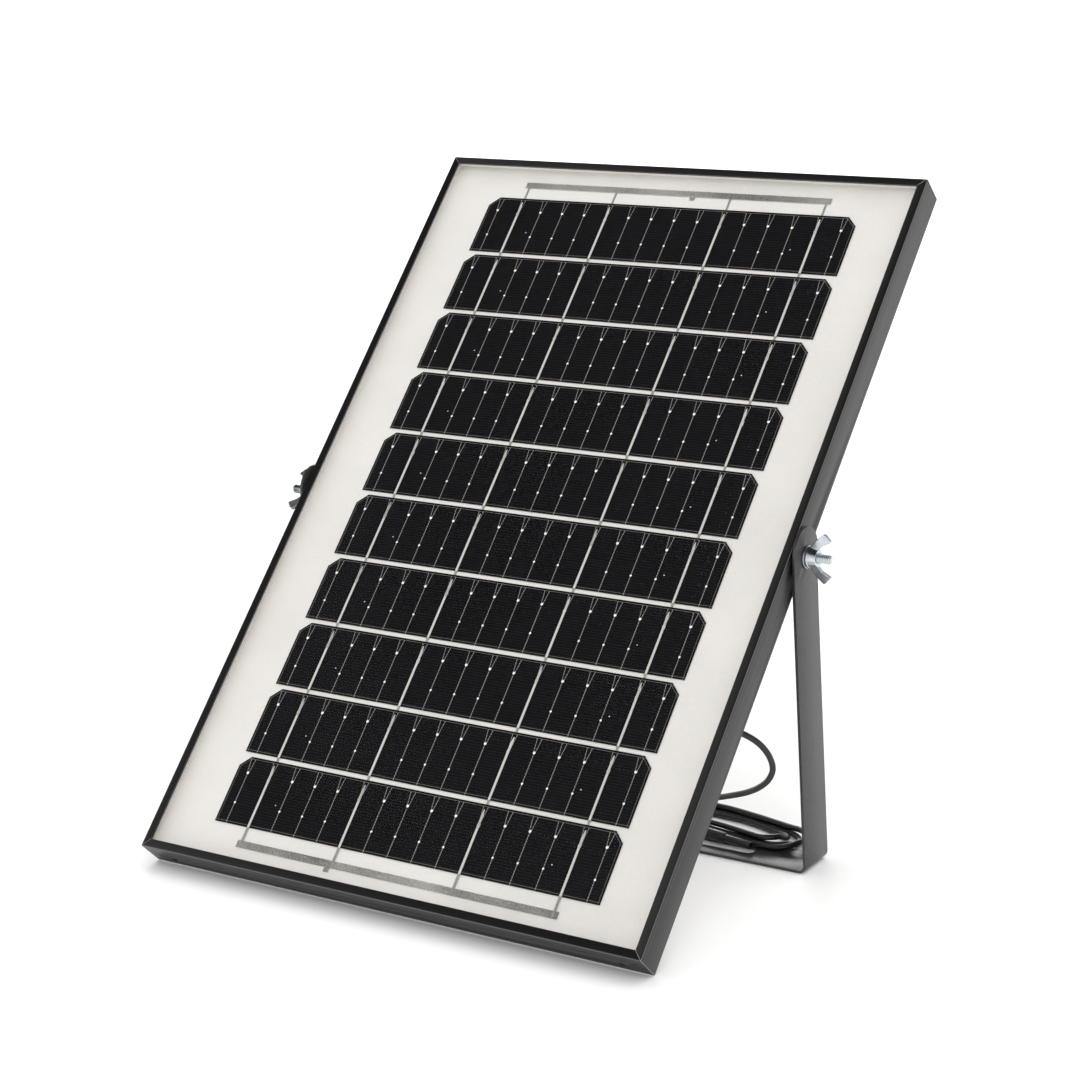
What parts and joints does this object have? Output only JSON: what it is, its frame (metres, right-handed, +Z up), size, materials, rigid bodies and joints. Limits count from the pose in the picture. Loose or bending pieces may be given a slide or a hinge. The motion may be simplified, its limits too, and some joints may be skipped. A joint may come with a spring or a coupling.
{
  "type": "tilting solar panel",
  "caption": "Small framed solar panel that tilts on a U-shaped floor or wall bracket between two wing nuts, with a coiled supply lead.",
  "frame": {"origin": "on the floor under the middle of the panel and bracket, cord left out", "axes": "+Z up, the glass faces -Y and up, +X along the pivot axis to the viewer's right"},
  "size_m": [0.2606, 0.2565, 0.2606],
  "materials": {
    "frame_black": "satin",
    "key_metal": "satin",
    "sealant": "matte",
    "glass": "gloss",
    "encapsulant": "satin",
    "cell": "satin",
    "tinned_copper": "satin",
    "backsheet": "matte",
    "box_plastic": "satin",
    "gasket": "matte",
    "zinc": "satin",
    "brass": "satin",
    "diode_black": "satin",
    "core_red": "gloss",
    "bracket_paint": "satin",
    "washer_black": "satin",
    "cord_pvc": "gloss"
  },
  "bodies": {
    "stand": {"u_bracket": "bracket_paint", "cord_lead": "cord_pvc", "cord_coil": "cord_pvc", "cord_tail": "cord_pvc", "cord_tie": "cord_pvc", "plug_boot": "cord_pvc", "plug_body": "cord_pvc", "plug_socket": "cord_pvc"},
    "panel": {"frame_top": "frame_black", "frame_bottom": "frame_black", "frame_left": "frame_black", "frame_right": "frame_black", "corner_keys": "key_metal", "edge_sealant": "sealant", "solar_glass": "glass", "front_encapsulant": "encapsulant", "cell_01": "cell", "cell_02": "cell", "cell_03": "cell", "cell_04": "cell", "cell_05": "cell", "cell_06": "cell", "cell_07": "cell", "cell_08": "cell", "cell_09": "cell", "cell_10": "cell", "cell_ribbons": "tinned_copper", "top_bus_ribbon": "tinned_copper", "bottom_bus_ribbon": "tinned_copper", "string_leads": "tinned_copper", "back_encapsulant": "encapsulant", "backsheet": "backsheet", "junction_box": "box_plastic", "lid_gasket": "gasket", "junction_box_lid": "box_plastic", "lid_screws": "zinc", "terminals": "brass", "blocking_diode": "diode_black", "core_wires": "core_red", "cable_boot": "box_plastic", "pivot_bolt_left": "zinc", "pivot_bolt_right": "zinc", "friction_washer_left": "washer_black", "friction_washer_right": "washer_black", "wing_washer_left": "zinc", "wing_washer_right": "zinc"},
    "nut_left": {"wing_nut_left": "zinc"},
    "nut_right": {"wing_nut_right": "zinc"}
  },
  "joints": [
    {"name": "panel_tilt", "type": "hinge", "parent": "stand", "child": "panel", "pos_m": [0, 0.00196, 0.12851], "axis": [1, 0, 0], "range_deg": [-114, 36], "deforming": ["cord_lead"]},
    {"name": "nut_right_turn", "type": "hinge", "parent": "panel", "child": "nut_right", "pos_m": [0.1225, 0.00196, 0.12851], "axis": [1, 0, 0], "range_deg": [0, 720]},
    {"name": "nut_left_turn", "type": "hinge", "parent": "panel", "child": "nut_left", "pos_m": [-0.1225, 0.00196, 0.12851], "axis": [-1, 0, 0], "range_deg": [0, 720]}
  ]
}
